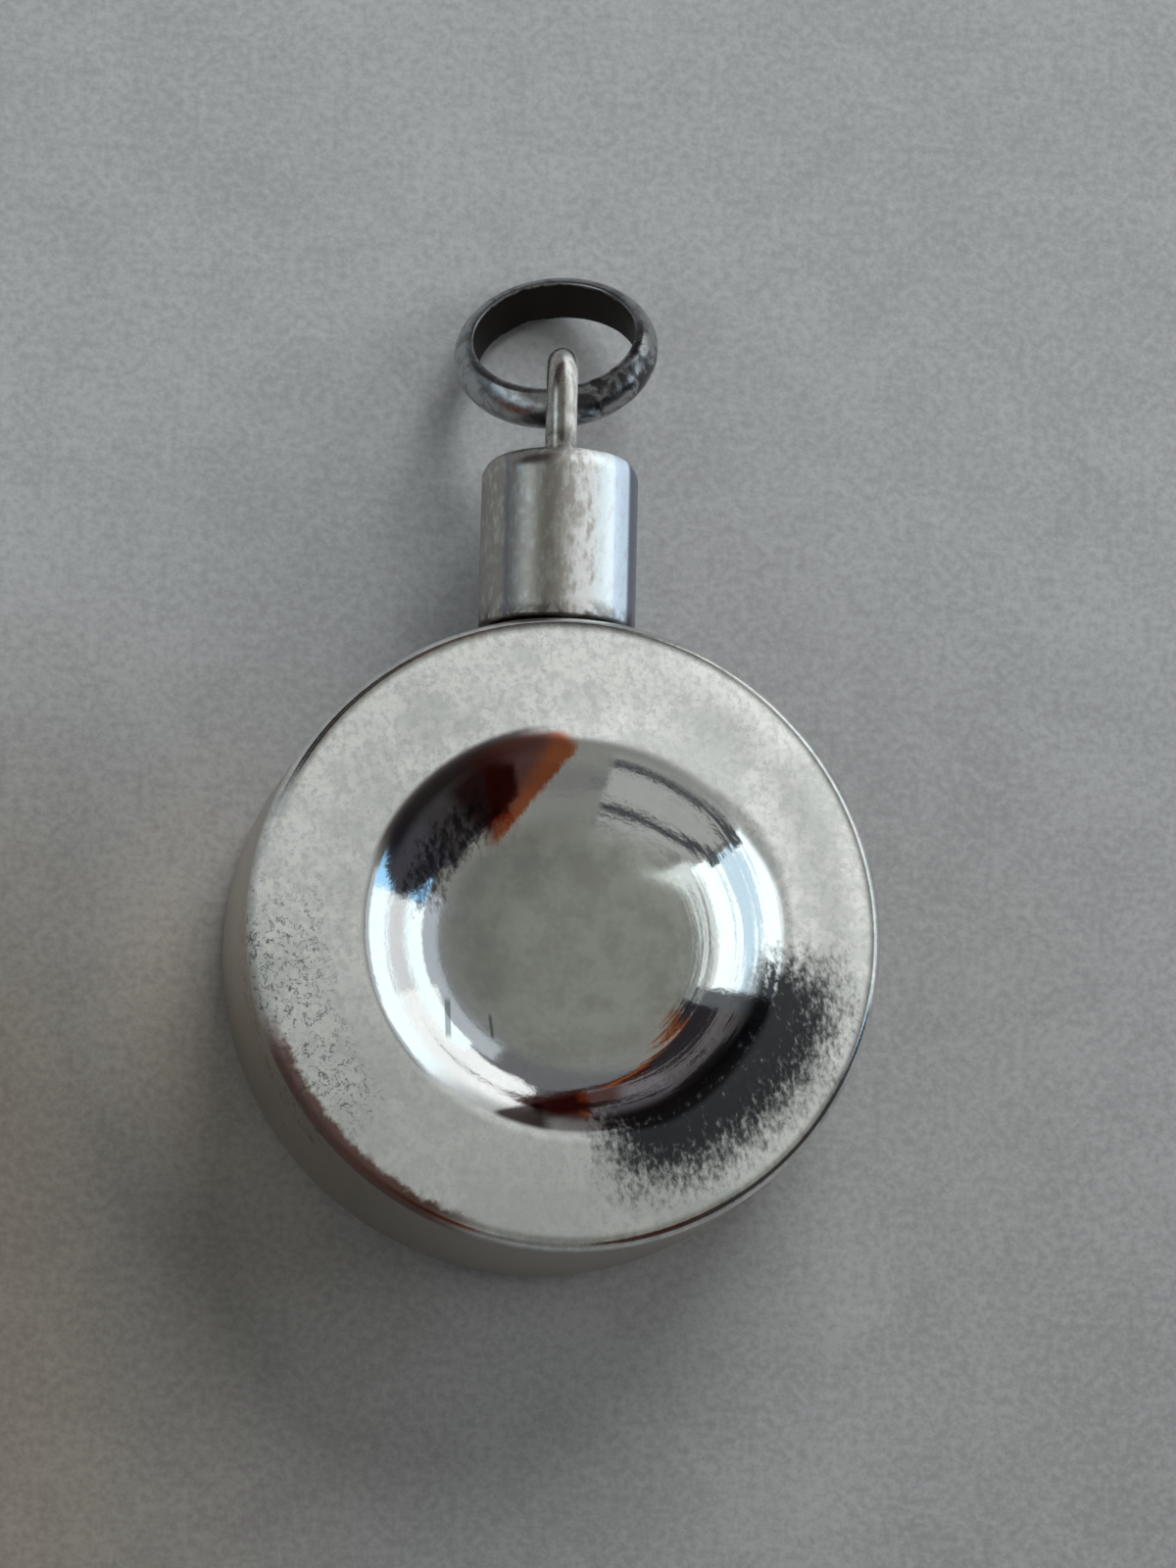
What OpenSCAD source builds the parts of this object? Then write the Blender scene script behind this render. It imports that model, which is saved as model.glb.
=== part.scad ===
// Perfume bottle pendant: a round silver flask with a dished front, lying on its back.
// A bored cap with a soldered loop sits on the neck, and a half-round jump ring leans
// from the loop to the surface. The origin is the middle of the back face, +Z is up
// out of the front face and +Y points along the neck. Sizes are in millimetres.

/* [Flask] */
// Diameter of the round body
body_d = 28; // [26:0.5:30]
// Thickness of the body, front face to back face
body_t = 11; // [10:0.25:12]
// Wall of the body
body_wall = 0.9; // [0.7:0.05:1.0]
// Rounding of the front edge
front_round = 0.9; // [0.6:0.1:1.2]
// Rounding of the back edge
back_round = 1.2; // [0.6:0.1:1.6]

/* [Dish in the front] */
// Diameter over the lip of the dish, where the face starts to dip
dish_d = 18.6; // [16:0.2:20]
// Depth of the dish below the front face
dish_depth = 3.4; // [2.6:0.1:4]
// Rounding of the lip of the dish
lip_round = 2.0; // [1.4:0.1:2.6]

/* [Neck] */
// Outside diameter of the neck
neck_d = 4.8; // [4.4:0.1:5]
// Bore of the neck, through which the flask is filled
neck_bore = 3.0; // [2.4:0.1:3.2]
// Length of neck inside the cap
neck_reach = 6; // [4:0.2:6.2]
// Diameter of the collar that the cap closes on
collar_d = 6.2; // [5.6:0.1:6.6]
// Height of the collar above the side of the body
collar_h = 0.35; // [0.2:0.05:0.6]

/* [Cap] */
// Outside diameter of the cap
cap_d = 7; // [6.6:0.1:7.4]
// Length of the cap
cap_len = 7.75; // [7.5:0.25:8.5]
// Rounding of the shoulder of the cap
cap_round = 1.1; // [0.6:0.1:1.4]
// Radial clearance between neck and cap
cap_clear = 0.05; // [0.02:0.01:0.1]
// Gap between the collar and the cap's rim
seat_gap = 0.1; // [0.05:0.05:0.3]

/* [Loop on the cap] */
// Width of the loop's half-round wire, seen edge on
loop_w = 1.4; // [1.2:0.1:1.6]
// Thickness of the loop's wire at its crown
loop_t = 1.05; // [0.9:0.05:1.2]
// Thickness of the loop's wire at its edges
loop_edge_t = 0.6; // [0.4:0.05:0.7]
// Width of the eye in the loop
eye_w = 3.4; // [3.3:0.1:3.8]
// Height of the loop above the cap
loop_h = 5.05; // [4.95:0.05:5.3]
// How far the cap is turned on the neck, which tips the loop sideways
loop_turn = 9; // [0:1:12]

/* [Jump ring] */
// Inside diameter of the ring
ring_inner_d = 7.3; // [7:0.1:7.6]
// Width of the ring's band
ring_w = 2.1; // [1.8:0.1:2.2]
// Thickness of the band at its crown
ring_t = 0.96; // [0.8:0.04:1]
// Thickness of the band at its edges
ring_edge_t = 0.36; // [0.3:0.02:0.5]
// How far the ring leans from lying flat, down towards the surface
ring_tilt = 36.5; // [34:0.5:36.5]
// How far the ring is turned sideways
ring_lean = 16; // [10:0.5:17]

/* [Hidden] */
$fn = 96;

body_r = body_d / 2;
past = 1; // how far a cutting shape runs past the face that it opens
bore_spare = 0.4; // how far the cap's bore runs past the end of the neck
root_depth = 1.5 * body_wall; // how deep the neck and collar reach into the body

// The dish is one spherical bowl that rolls over into the lip
dish_r = dish_d / 2;
dish_slope = 2 * atan(dish_depth / dish_r);
reach_r = dish_r / sin(dish_slope);
bowl_r = reach_r - lip_round;
bowl_z = body_t - dish_depth + bowl_r;

axis_z = body_t / 2; // height of the neck's axis
collar_y = body_r + collar_h;
neck_end = collar_y + seat_gap + neck_reach;
cap_y = collar_y + seat_gap;
cap_top = cap_y + cap_len;
cap_bore_end = neck_end + bore_spare;
neck_root = body_r - root_depth;

loop_sink = 0.35; // how deep the loop's feet are let into the cap
eye_r = eye_w / 2;
loop_r = eye_r + loop_t;
loop_centre_y = cap_top + loop_h - loop_r;

ring_inner_r = ring_inner_d / 2;
ring_slip = [0, -0.24, 0.36]; // from the centre of the eye to the ring's band that passes through it
ring_hold = [0, loop_centre_y, axis_z] + ring_slip;
ring_mid_r = ring_inner_r + ring_t / 2;
ring_centre = ring_hold + ring_mid_r * [0, cos(ring_tilt), -sin(ring_tilt)];

silver = [0.78, 0.77, 0.74];
dark_silver = [0.62, 0.61, 0.58];

// Half section of a disc from height low to height high, with rounded edges
module disc_section(radius, low, high, low_round, high_round) {
    translate([0, low]) square([radius - low_round, high - high_round - low]);
    translate([0, low + low_round]) square([radius - high_round, high - low - low_round]);
    translate([0, low + low_round]) square([radius, high - high_round - low - low_round]);
    translate([radius - low_round, low + low_round]) circle(low_round);
    translate([radius - high_round, high - high_round]) circle(high_round);
}

// Everything in the half section that lies below the dish and outside its lip,
// set back by depth from the dish's surface
module under_dish(depth) {
    roll_z = bowl_z - (bowl_r + depth) * cos(dish_slope);
    difference() {
        square([body_r, roll_z]);
        translate([0, bowl_z]) circle(bowl_r + depth);
    }
    translate([dish_r, 0]) square([body_r - dish_r, body_t]);
    translate([dish_r, body_t - lip_round]) circle(lip_round - depth);
}

// Half section of the flask's outer form, or of the same form set back by depth
module flask_form(depth) {
    intersection() {
        disc_section(body_r - depth, depth, body_t - depth, back_round - depth / 2, front_round - depth / 2);
        under_dish(depth);
    }
}

module flask_section() {
    difference() {
        flask_form(0);
        flask_form(body_wall);
    }
}

// A rod along +Y at the height of the neck
module rod(diameter, from_y, to_y) {
    translate([0, from_y, axis_z]) rotate([-90, 0, 0]) cylinder(d = diameter, h = to_y - from_y);
}

// The flask is soldered up into one piece: body, collar and neck
module flask() {
    color(silver)
    difference() {
        union() {
            rotate_extrude() flask_section();
            rod(collar_d, neck_root, collar_y);
            rod(neck_d, neck_root, neck_end);
        }
        rod(neck_bore, neck_root - body_wall, neck_end + past);
    }
}

module cap_section() {
    square([cap_d / 2, cap_len - cap_round]);
    square([cap_d / 2 - cap_round, cap_len]);
    translate([cap_d / 2 - cap_round, cap_len - cap_round]) circle(cap_round);
}

// Section of a half-round wire: flat inside at radius inner, crowned outside
module half_round(inner, thickness, edge_thickness, width) {
    rise = thickness - edge_thickness;
    crown_r = (pow(width / 2, 2) + pow(rise, 2)) / (2 * rise);
    intersection() {
        translate([inner, -width / 2]) square([thickness, width]);
        translate([inner + thickness - crown_r, 0]) circle(crown_r);
    }
}

// The loop stands on edge: a half circle at its end and two straight legs into the cap
module loop() {
    leg_len = loop_centre_y - cap_top + loop_sink;
    translate([0, loop_centre_y, axis_z])
    rotate([0, 90 - loop_turn, 0]) {
        rotate_extrude(angle = 180) half_round(eye_r, loop_t, loop_edge_t, loop_w);
        for (side = [0, 1])
            mirror([side, 0, 0]) rotate([90, 0, 0]) linear_extrude(leg_len)
                half_round(eye_r, loop_t, loop_edge_t, loop_w);
    }
}

// The cap and its loop are soldered into one piece
module cap() {
    color(silver)
    union() {
        difference() {
            translate([0, cap_y, axis_z]) rotate([-90, 0, 0]) rotate_extrude() cap_section();
            rod(neck_d + 2 * cap_clear, cap_y - past, cap_bore_end);
        }
        loop();
    }
}

module jump_ring() {
    color(dark_silver)
    translate(ring_centre) rotate([-ring_tilt, -ring_lean, 0])
    rotate_extrude() half_round(ring_inner_r, ring_t, ring_edge_t, ring_w);
}

flask();
cap();
jump_ring();
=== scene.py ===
# %% [markdown]
# This lesson dresses a round silver flask pendant that lies on its back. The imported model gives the
# frame: where each piece is and which pieces move together. Polished silver shows every facet of a
# mesh, so each piece is modelled again here with close rings and smooth shading, at the same size
# and in the same place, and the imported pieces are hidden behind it.

# %% Load the frame
import math

import bpy
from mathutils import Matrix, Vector


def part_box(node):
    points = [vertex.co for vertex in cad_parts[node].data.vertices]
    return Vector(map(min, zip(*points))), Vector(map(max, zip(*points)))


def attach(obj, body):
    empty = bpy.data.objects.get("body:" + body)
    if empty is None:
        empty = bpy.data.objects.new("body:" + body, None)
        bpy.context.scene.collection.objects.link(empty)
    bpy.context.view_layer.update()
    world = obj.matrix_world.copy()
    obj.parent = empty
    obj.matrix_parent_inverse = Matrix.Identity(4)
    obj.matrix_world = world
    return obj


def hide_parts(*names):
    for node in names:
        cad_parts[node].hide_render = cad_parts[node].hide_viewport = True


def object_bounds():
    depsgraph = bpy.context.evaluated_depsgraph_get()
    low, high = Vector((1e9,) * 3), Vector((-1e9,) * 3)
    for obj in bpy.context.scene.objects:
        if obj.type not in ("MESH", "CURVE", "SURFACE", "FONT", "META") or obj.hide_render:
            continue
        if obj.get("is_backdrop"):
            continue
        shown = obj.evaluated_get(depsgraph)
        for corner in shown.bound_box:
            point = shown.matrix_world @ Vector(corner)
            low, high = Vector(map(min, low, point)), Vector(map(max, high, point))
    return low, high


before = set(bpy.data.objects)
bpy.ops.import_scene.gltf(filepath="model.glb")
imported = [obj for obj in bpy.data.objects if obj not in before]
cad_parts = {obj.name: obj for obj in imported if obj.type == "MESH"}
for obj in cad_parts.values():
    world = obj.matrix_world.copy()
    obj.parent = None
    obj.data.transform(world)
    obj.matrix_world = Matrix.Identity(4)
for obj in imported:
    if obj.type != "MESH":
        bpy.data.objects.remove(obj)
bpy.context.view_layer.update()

MM = 0.001  # one millimetre in the scene's metres

# %% [markdown]
# The camera looks down at the pendant from the lower left with a long lens, about 13 degrees off the
# vertical. It could be aimed with a constraint, but three plain angles and a place are easier to
# read and stay exactly the same in every run.

# %% Camera
CAMERA_PLACE = (-52.41, -54.76, 343.85)  # millimetres from the middle of the flask's back
CAMERA_TURN = (10.43, -8.92, 2.97)  # degrees about X, Y and Z

lens = bpy.data.cameras.new("photo_camera")
lens.sensor_width = 36
lens.lens = 180
lens.clip_start, lens.clip_end = 0.01, 20
camera = bpy.data.objects.new("photo_camera", lens)
bpy.context.scene.collection.objects.link(camera)
camera.rotation_mode = "ZYX"
camera.rotation_euler = [math.radians(angle) for angle in CAMERA_TURN]
camera.location = Vector(CAMERA_PLACE) * MM
bpy.context.scene.camera = camera
bpy.context.scene.view_settings.view_transform = "Standard"
print("camera", round(camera.location.length / MM), "mm away")

# %% [markdown]
# Shaders are easier to read as arithmetic than as a drawing of nodes. A small class wraps a socket
# that carries a number, and adding or multiplying two of them adds the Math node. Every other kind
# of node comes from one method, which takes its type, its settings and what goes into its sockets.

# %% A small language for shaders
class Value:
    """A number that varies over a surface, which can be used in sums like a plain number."""

    def __init__(self, paint, socket):
        self.paint, self.socket = paint, socket

    def math(self, operation, first, second=0.0):
        made = self.paint.node("ShaderNodeMath", {"operation": operation}, {0: first, 1: second})
        return Value(self.paint, made.outputs[0])

    def __add__(self, other):
        return self.math("ADD", self, other)

    def __sub__(self, other):
        return self.math("SUBTRACT", self, other)

    def __rsub__(self, other):
        return self.math("SUBTRACT", other, self)

    def __mul__(self, other):
        return self.math("MULTIPLY", self, other)

    def __truediv__(self, other):
        return self.math("DIVIDE", self, other)

    def __pow__(self, other):
        return self.math("POWER", self, other)

    def __abs__(self):
        return self.math("ABSOLUTE", self)

    __radd__ = __add__
    __rmul__ = __mul__


class Paint:
    """The node tree of one material or of the world."""

    def __init__(self, owner):
        owner.use_nodes = True
        self.tree = owner.node_tree
        self.tree.nodes.clear()

    def node(self, kind, settings=None, sockets=None):
        made = self.tree.nodes.new(kind)
        for name, setting in (settings or {}).items():
            setattr(made, name, setting)
        for name, given in (sockets or {}).items():
            if isinstance(given, Value):
                given = given.socket
            if isinstance(given, bpy.types.NodeSocket):
                self.tree.links.new(given, made.inputs[name])
            else:
                made.inputs[name].default_value = given
        return made

    def xyz(self, vector):
        parts = self.node("ShaderNodeSeparateXYZ", None, {0: vector})
        return [Value(self, socket) for socket in parts.outputs]

    def vector(self, x, y, z):
        return self.node("ShaderNodeCombineXYZ", None, {0: x, 1: y, 2: z}).outputs[0]

    def step(self, value, start, end):
        """0 before start and 1 after end, with a smooth rise between them."""
        made = self.node(
            "ShaderNodeMapRange",
            {"interpolation_type": "SMOOTHSTEP"},
            {"Value": value, "From Min": min(start, end), "From Max": max(start, end),
             "To Min": float(start > end), "To Max": float(start < end)},
        )
        return Value(self, made.outputs["Result"])

    def band(self, value, rise, full, still_full, gone):
        """1 between full and still_full, 0 before rise and after gone."""
        return self.step(value, rise, full) * self.step(value, gone, still_full)

    def noise(self, place, scale, detail=3.0, rough=0.5, warp=0.0):
        made = self.node(
            "ShaderNodeTexNoise",
            {"noise_dimensions": "3D"},
            {"Vector": place, "Scale": scale, "Detail": detail, "Roughness": rough, "Distortion": warp},
        )
        return Value(self, made.outputs["Fac"])

    def mix(self, share, first, second):
        """A colour that goes from first to second as share goes from 0 to 1."""
        made = self.node("ShaderNodeMix", {"data_type": "RGBA"}, {"Factor": share})
        for name, given in (("A", first), ("B", second)):
            socket = next(s for s in made.inputs if s.name == name and s.type == "RGBA")
            if isinstance(given, bpy.types.NodeSocket):
                self.tree.links.new(given, socket)
            else:
                socket.default_value = (*given, 1.0)
        return next(s for s in made.outputs if s.type == "RGBA")

    def layers(self, colour, *coats):
        """A colour with coats laid over it in turn, each given as its mask and its colour."""
        for mask, coat in coats:
            colour = self.mix(mask, colour, coat)
        return colour


print("shader words:", [name for name in dir(Paint) if not name.startswith("_")])

# %% [markdown]
# A mirror is only as good as what it reflects. Silver under even light looks like grey paper, so a
# studio surrounds it with a tent of bright and dark boards. Lamps could stand for the bright ones, but
# then the dark ones would still be missing. Here every board is a sheet on a wide dome, placed on a
# round plan whose middle is straight up and whose edge, 90 degrees out, is the horizon. The boards
# light the pendant and show in it, and the camera itself doesn't see them.

# %% The boards of the light tent
TENT_R = 1.4  # metres
BOARD_GAP = 0.008  # metres between a board and the next one, which hangs in front of it
MIRROR = (9, 10)  # the place on the plan that the flat face shows to the camera
ARCS = [
    # name, from and to in degrees away from MIRROR, from and to in degrees round it, lean, colour
    ("right_wall", 64, 98, -44, 72, 0, (0.66, 0.68, 0.70)),
    ("right_skirting", 76, 98, -46, 72, 0, (0.95, 1.0, 1.05)),
    ("right_glow", 46, 60, -16, 62, 0, (0.20, 0.21, 0.21)),
    ("right_glow_middle", 50, 60, -15, 60, 0, (0.42, 0.46, 0.50)),
    ("right_window_far", 61, 80, 24, 76, 7, (0.94, 0.97, 0.97)),
    ("right_window", 57.5, 67.5, -13, 50, 0, (0.98, 1.13, 1.18)),
    ("right_window_foot", 58, 68, -20, -9, 0, (0.40, 0.75, 1.10)),
    ("left_wall", 64, 96, 138, 214, 0, (0.20, 0.215, 0.23)),
    ("left_glow", 47, 60, 152, 236, 0, (0.17, 0.18, 0.17)),
    ("left_glow_middle", 50, 60, 154, 234, 0, (0.36, 0.38, 0.37)),
    ("left_glow_edge", 52, 60, 152, 232, 0, (0.66, 0.72, 0.71)),
    ("left_window_sill", 67, 76, 156, 222, 0, (0.60, 0.78, 0.90)),
    ("left_window", 57, 68.5, 157, 226, 0, (1.05, 1.17, 1.19)),
    ("left_window_foot", 57, 69, 150, 159, 0, (0.38, 0.52, 0.66)),
    ("left_skirting", 93, 101, 150, 200, 0, (0.03, 0.035, 0.05)),
    ("near_window", 61, 76, 226, 262, 0, (0.34, 0.35, 0.34)),
    ("window_bar", 65.5, 69, 217, 262, 0, (0.045, 0.05, 0.055)),
    ("near_wall", 70, 100, 268, 305, 0, (0.17, 0.17, 0.165)),
    ("near_left_wood", 76, 104, 208, 256, 0, (0.13, 0.045, 0.028)),
    ("near_right_wall", 54.5, 112, -76, -30, -3.5, (0.036, 0.033, 0.034)),
    ("near_right_wall_left", 59.5, 121, -33, -8, 9, (0.045, 0.045, 0.055)),
    ("near_right_beam", 61, 84, -82, -62, -6, (0.040, 0.013, 0.010)),
    ("near_right_beam_foot", 55.6, 58.4, -77, -56, -2.2, (0.16, 0.044, 0.012)),
    ("far_wall", 64.5, 118, 66, 118, -8, (0.016, 0.014, 0.018)),
    ("far_wall_fade", 51, 118, 148, 161, 0, (0.10, 0.11, 0.12)),
    ("far_wall_right", 52.7, 118, 115, 153, -4.2, (0.020, 0.018, 0.021)),
    ("far_beam", 64, 72, 68, 118, -8, (0.030, 0.008, 0.007)),
    ("far_beam_edge", 62.4, 64.4, 90, 118, -5.6, (0.22, 0.060, 0.014)),
    ("far_beam_edge_right", 51.6, 54, 115, 146, -4, (0.16, 0.048, 0.016)),
    ("far_shelf", 65.5, 71, 93, 119, 0, (0.15, 0.14, 0.155)),
    ("far_corner", 65.5, 71, 119, 154, 0, (0.11, 0.105, 0.105)),
]
FAR_LEFT_WALL = (-82, 74, 30, 60, 126.8)  # right, up, half width, half length and turn on the plan
FAR_LEFT_COLOUR = (0.018, 0.016, 0.02)


def on_dome(right, up, radius):
    """The place on the dome that belongs to a place on the plan, both in degrees."""
    from_top, round_angle = math.radians(math.hypot(right, up)), math.atan2(up, right)
    flat = math.sin(from_top)
    direction = Vector((flat * math.cos(round_angle), flat * math.sin(round_angle), math.cos(from_top)))
    return direction * radius


def arc_plan(near, far, start, end, lean):
    """Places on an arc round MIRROR, for two shares from -1 to 1. Its end lies further away by lean."""
    def plan(across, along):
        away = (near + far + (far - near) * across) / 2 + lean * along
        angle = math.radians((start + end + (end - start) * along) / 2)
        return MIRROR[0] + away * math.cos(angle), MIRROR[1] + away * math.sin(angle)
    return plan


def strip_plan(right, up, half_width, half_length, turn):
    """Places on a straight strip, for two shares from -1 to 1."""
    cosine, sine = math.cos(math.radians(turn)), math.sin(math.radians(turn))

    def plan(across, along):
        across, along = across * half_width, along * half_length
        return right + across * cosine - along * sine, up + across * sine + along * cosine
    return plan


# %% Hang the boards
boards = [(name, arc_plan(*sizes), colour) for name, *sizes, colour in ARCS]
boards.append(("far_left_wall", strip_plan(*FAR_LEFT_WALL), FAR_LEFT_COLOUR))
for order, (name, plan, colour) in enumerate(boards):
    bpy.ops.object.select_all(action="DESELECT")
    bpy.ops.mesh.primitive_grid_add(x_subdivisions=6, y_subdivisions=16, size=2)
    board = bpy.context.object
    board.name = board.data.name = name
    for vertex in board.data.vertices:
        vertex.co = on_dome(*plan(vertex.co.x, vertex.co.y), TENT_R - BOARD_GAP * order)
    glow = bpy.data.materials.new(name)
    paint = Paint(glow)
    lit = paint.node("ShaderNodeEmission", None, {"Color": (*colour, 1.0), "Strength": 1.0})
    paint.node("ShaderNodeOutputMaterial", None, {"Surface": lit.outputs[0]})
    glow.cycles.emission_sampling = "NONE"  # only rays that happen to meet a board see it
    board.data.materials.append(glow)
    board.visible_camera = False
    board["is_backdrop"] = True
print(len(boards), "boards hang in the light tent")

# %% [markdown]
# Between the boards the tent is one plain cloth. It is lightest overhead, where it is the ceiling that
# the dish shows, and darker towards the horizon.

# %% The cloth of the tent
CEILING = (0.205, 0.21, 0.195)
WALL = (0.13, 0.135, 0.14)
CEILING_UP, WALL_UP = 0.52, 0.40  # how far up a direction points where it meets each of them

world = bpy.data.worlds.new("light_tent")
bpy.context.scene.world = world
sky = Paint(world)
height = sky.xyz(sky.node("ShaderNodeTexCoord").outputs["Generated"])[2]
cloth = sky.mix(sky.step(height, CEILING_UP, WALL_UP), CEILING, WALL)
shine = sky.node("ShaderNodeBackground", None, {"Color": cloth, "Strength": 1.0})
sky.node("ShaderNodeOutputWorld", None, {"Surface": shine.outputs[0]})
print("tent cloth", CEILING, "overhead")

# %% [markdown]
# The soft shadows on the floor need clearer directions than a tent gives. Two large lamps give them,
# one on the far side and one at the right. Mirrors don't show the lamps, because the boards already
# stand for all that a mirror sees.

# %% Lamps
LAMPS = [
    # name, degrees round from +X, degrees up, size in metres, watts, colour
    ("far_lamp", 72, 34, 0.75, 12.5, (0.95, 0.98, 1.0)),
    ("right_lamp", 10, 28, 0.75, 4.2, (1.0, 0.99, 0.97)),
]
LAMP_AWAY = 1.2  # metres

for name, around, up, size, watts, colour in LAMPS:
    light = bpy.data.lights.new(name, "AREA")
    light.shape, light.size, light.energy, light.color = "DISK", size, watts, colour
    lamp = bpy.data.objects.new(name, light)
    bpy.context.scene.collection.objects.link(lamp)
    up, around = math.radians(up), math.radians(around)
    flat = math.cos(up)
    lamp.location = Vector((flat * math.cos(around), flat * math.sin(around), math.sin(up))) * LAMP_AWAY
    lamp.rotation_euler = lamp.location.to_track_quat("Z", "Y").to_euler()
    lamp.visible_glossy = False
print(len(LAMPS), "lamps", sum(watts for *_, watts, _ in LAMPS), "watts together")

# %% [markdown]
# The floor is a plain pale plaster slab. A few shallow swells and a fine grain keep it from looking
# like paper, and nothing else lies on it. Its tone could come from the lamps alone, but in a tent the
# light is too even for that. So light and shade are painted into the plaster: painted falloff makes it
# darker near the camera, painted shade makes it darker and warmer at the left, and a painted bounce
# makes it light close to the flask, where bright metal throws light back on it.

# %% Floor
FLOOR_SIZE = 3.0  # metres, so that its edge is never in the picture
FLOOR_DROP = 0.00002  # just under the flask's back, which would otherwise share its plane

bpy.ops.object.select_all(action="DESELECT")
bpy.ops.mesh.primitive_plane_add(size=FLOOR_SIZE, location=(0, 0, -FLOOR_DROP))
floor = bpy.context.object
floor.name = "floor"
plaster = bpy.data.materials.new("plaster")
paint = Paint(plaster)
place = paint.node("ShaderNodeTexCoord").outputs["Object"]
swell = paint.noise(place, 45, 3, 0.45, 0.6)
patch = paint.noise(place, 260, 4, 0.6, 0.8)
grain = paint.noise(place, 2600, 4, 0.65)
tone = paint.step(swell * 0.15 + patch * 0.22 + grain * 0.63, 0.36, 0.64)
x, y, _ = paint.xyz(place)  # metres from the middle of the flask's back
# painted light: darker near the camera, darker and warmer at the left where the flask's shade falls,
# lighter close to the flask
painted_falloff_near = paint.step(y, 0.035, -0.05)
painted_shade_left = paint.step(x, 0.0, -0.03) * paint.step(y, 0.02, -0.01)
painted_bounce_beside = painted_shade_left * paint.step((x * x + y * y) ** 0.5, 0.021, 0.0155)
pale = paint.layers(
    (0.43, 0.435, 0.44),
    (painted_falloff_near, (0.31, 0.31, 0.31)),
    (painted_shade_left, (0.26, 0.225, 0.18)),
    (painted_bounce_beside, (0.50, 0.43, 0.36)),
)
dull = paint.layers(
    (0.325, 0.33, 0.335),
    (painted_falloff_near, (0.225, 0.225, 0.225)),
    (painted_shade_left, (0.19, 0.16, 0.13)),
    (painted_bounce_beside, (0.38, 0.325, 0.27)),
)
colour = paint.mix(tone, dull, pale)
relief = swell + patch * 0.12 + grain * 0.03
bump = paint.node("ShaderNodeBump", None, {"Strength": 0.6, "Distance": 0.0006, "Height": relief})
skin = paint.node(
    "ShaderNodeBsdfPrincipled", None,
    {"Base Color": colour, "Roughness": 0.62, "Normal": bump.outputs[0]},
)
paint.node("ShaderNodeOutputMaterial", None, {"Surface": skin.outputs[0]})
floor.data.materials.append(plaster)
floor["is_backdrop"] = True
print("floor", FLOOR_SIZE, "m square")

# %% [markdown]
# Round silverware is spun or turned, so the mesh is made the same way: it starts as one circle and
# grows ring by ring along a profile, each ring extruded from the last and scaled to its radius. A
# screw modifier would do it in one go, but rings that are laid one after the other can follow arcs of
# any fineness, and each keeps the same number of points for the dents that come later.

# %% Turn a piece on the lathe
WELD = 0.001 * MM  # points closer than this become one


def arc(centre_r, centre_z, radius, start, end, steps):
    """Points (r, z) on an arc, by angle in degrees, where 0 points outwards and 90 up."""
    angles = [math.radians(start + (end - start) * i / steps) for i in range(steps + 1)]
    return [(centre_r + radius * math.cos(a), centre_z + radius * math.sin(a)) for a in angles]


def straight(start, end, steps):
    """Points between two places, without the first one."""
    return [
        tuple(a + (b - a) * i / steps for a, b in zip(start, end))
        for i in range(1, steps + 1)
    ]


def lathe(name, profile, points_round=256, closed=False):
    """A piece turned about Z from points (r, z) in millimetres.

    Its two ends close on the axis or, if it is closed, on each other.
    """
    bpy.ops.object.select_all(action="DESELECT")
    first_r, first_z = profile[0]
    bpy.ops.mesh.primitive_circle_add(
        vertices=points_round, radius=first_r * MM, location=(0, 0, 0), fill_type="NOTHING"
    )
    piece = bpy.context.object
    piece.name = piece.data.name = name
    bpy.ops.object.mode_set(mode="EDIT")
    bpy.ops.mesh.select_all(action="SELECT")
    bpy.ops.transform.translate(value=(0, 0, first_z * MM))
    if not closed:
        bpy.ops.mesh.edge_face_add()
        bpy.ops.mesh.poke()
        bpy.ops.mesh.select_all(action="DESELECT")
        bpy.ops.mesh.select_non_manifold()
    last_r, last_z = first_r, first_z
    for r, z in profile[1:]:
        bpy.ops.mesh.extrude_edges_move(TRANSFORM_OT_translate={"value": (0, 0, (z - last_z) * MM)})
        share = r / last_r
        bpy.ops.transform.resize(value=(share, share, 1), center_override=(0, 0, z * MM))
        last_r, last_z = r, z
    if not closed:
        bpy.ops.mesh.edge_face_add()
        bpy.ops.mesh.poke()
    bpy.ops.mesh.select_all(action="SELECT")
    bpy.ops.mesh.remove_doubles(threshold=WELD)
    bpy.ops.mesh.normals_make_consistent(inside=False)
    bpy.ops.object.mode_set(mode="OBJECT")
    bpy.ops.object.shade_smooth()
    print(name, len(piece.data.polygons), "faces")
    return piece


def choose(piece, chosen):
    """Selects the points for which chosen(point, in millimetres) is true, and leaves edit mode on."""
    bpy.ops.object.mode_set(mode="EDIT")
    bpy.ops.mesh.select_all(action="DESELECT")
    bpy.ops.object.mode_set(mode="OBJECT")
    for vertex in piece.data.vertices:
        vertex.select = chosen(vertex.co / MM)
    bpy.ops.object.mode_set(mode="EDIT")


def set_down(piece, place, turn):
    """Puts a turned piece where it belongs and writes the place into its mesh."""
    bpy.ops.object.select_all(action="DESELECT")
    piece.select_set(True)
    bpy.context.view_layer.objects.active = piece
    piece.location = Vector(place) * MM
    piece.rotation_euler = [math.radians(angle) for angle in turn]
    bpy.ops.object.transform_apply(location=True, rotation=True, scale=True)
    return piece


# %% [markdown]
# The flask's body is a drum with rounded edges and a dish pressed into its front. On the real one
# the dish was pressed with a round punch, which gives one smooth bowl and a lip that rolls over
# into the face. The profile runs from the middle of the back, round the side, over the face and
# down to the bottom of the dish.

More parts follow.
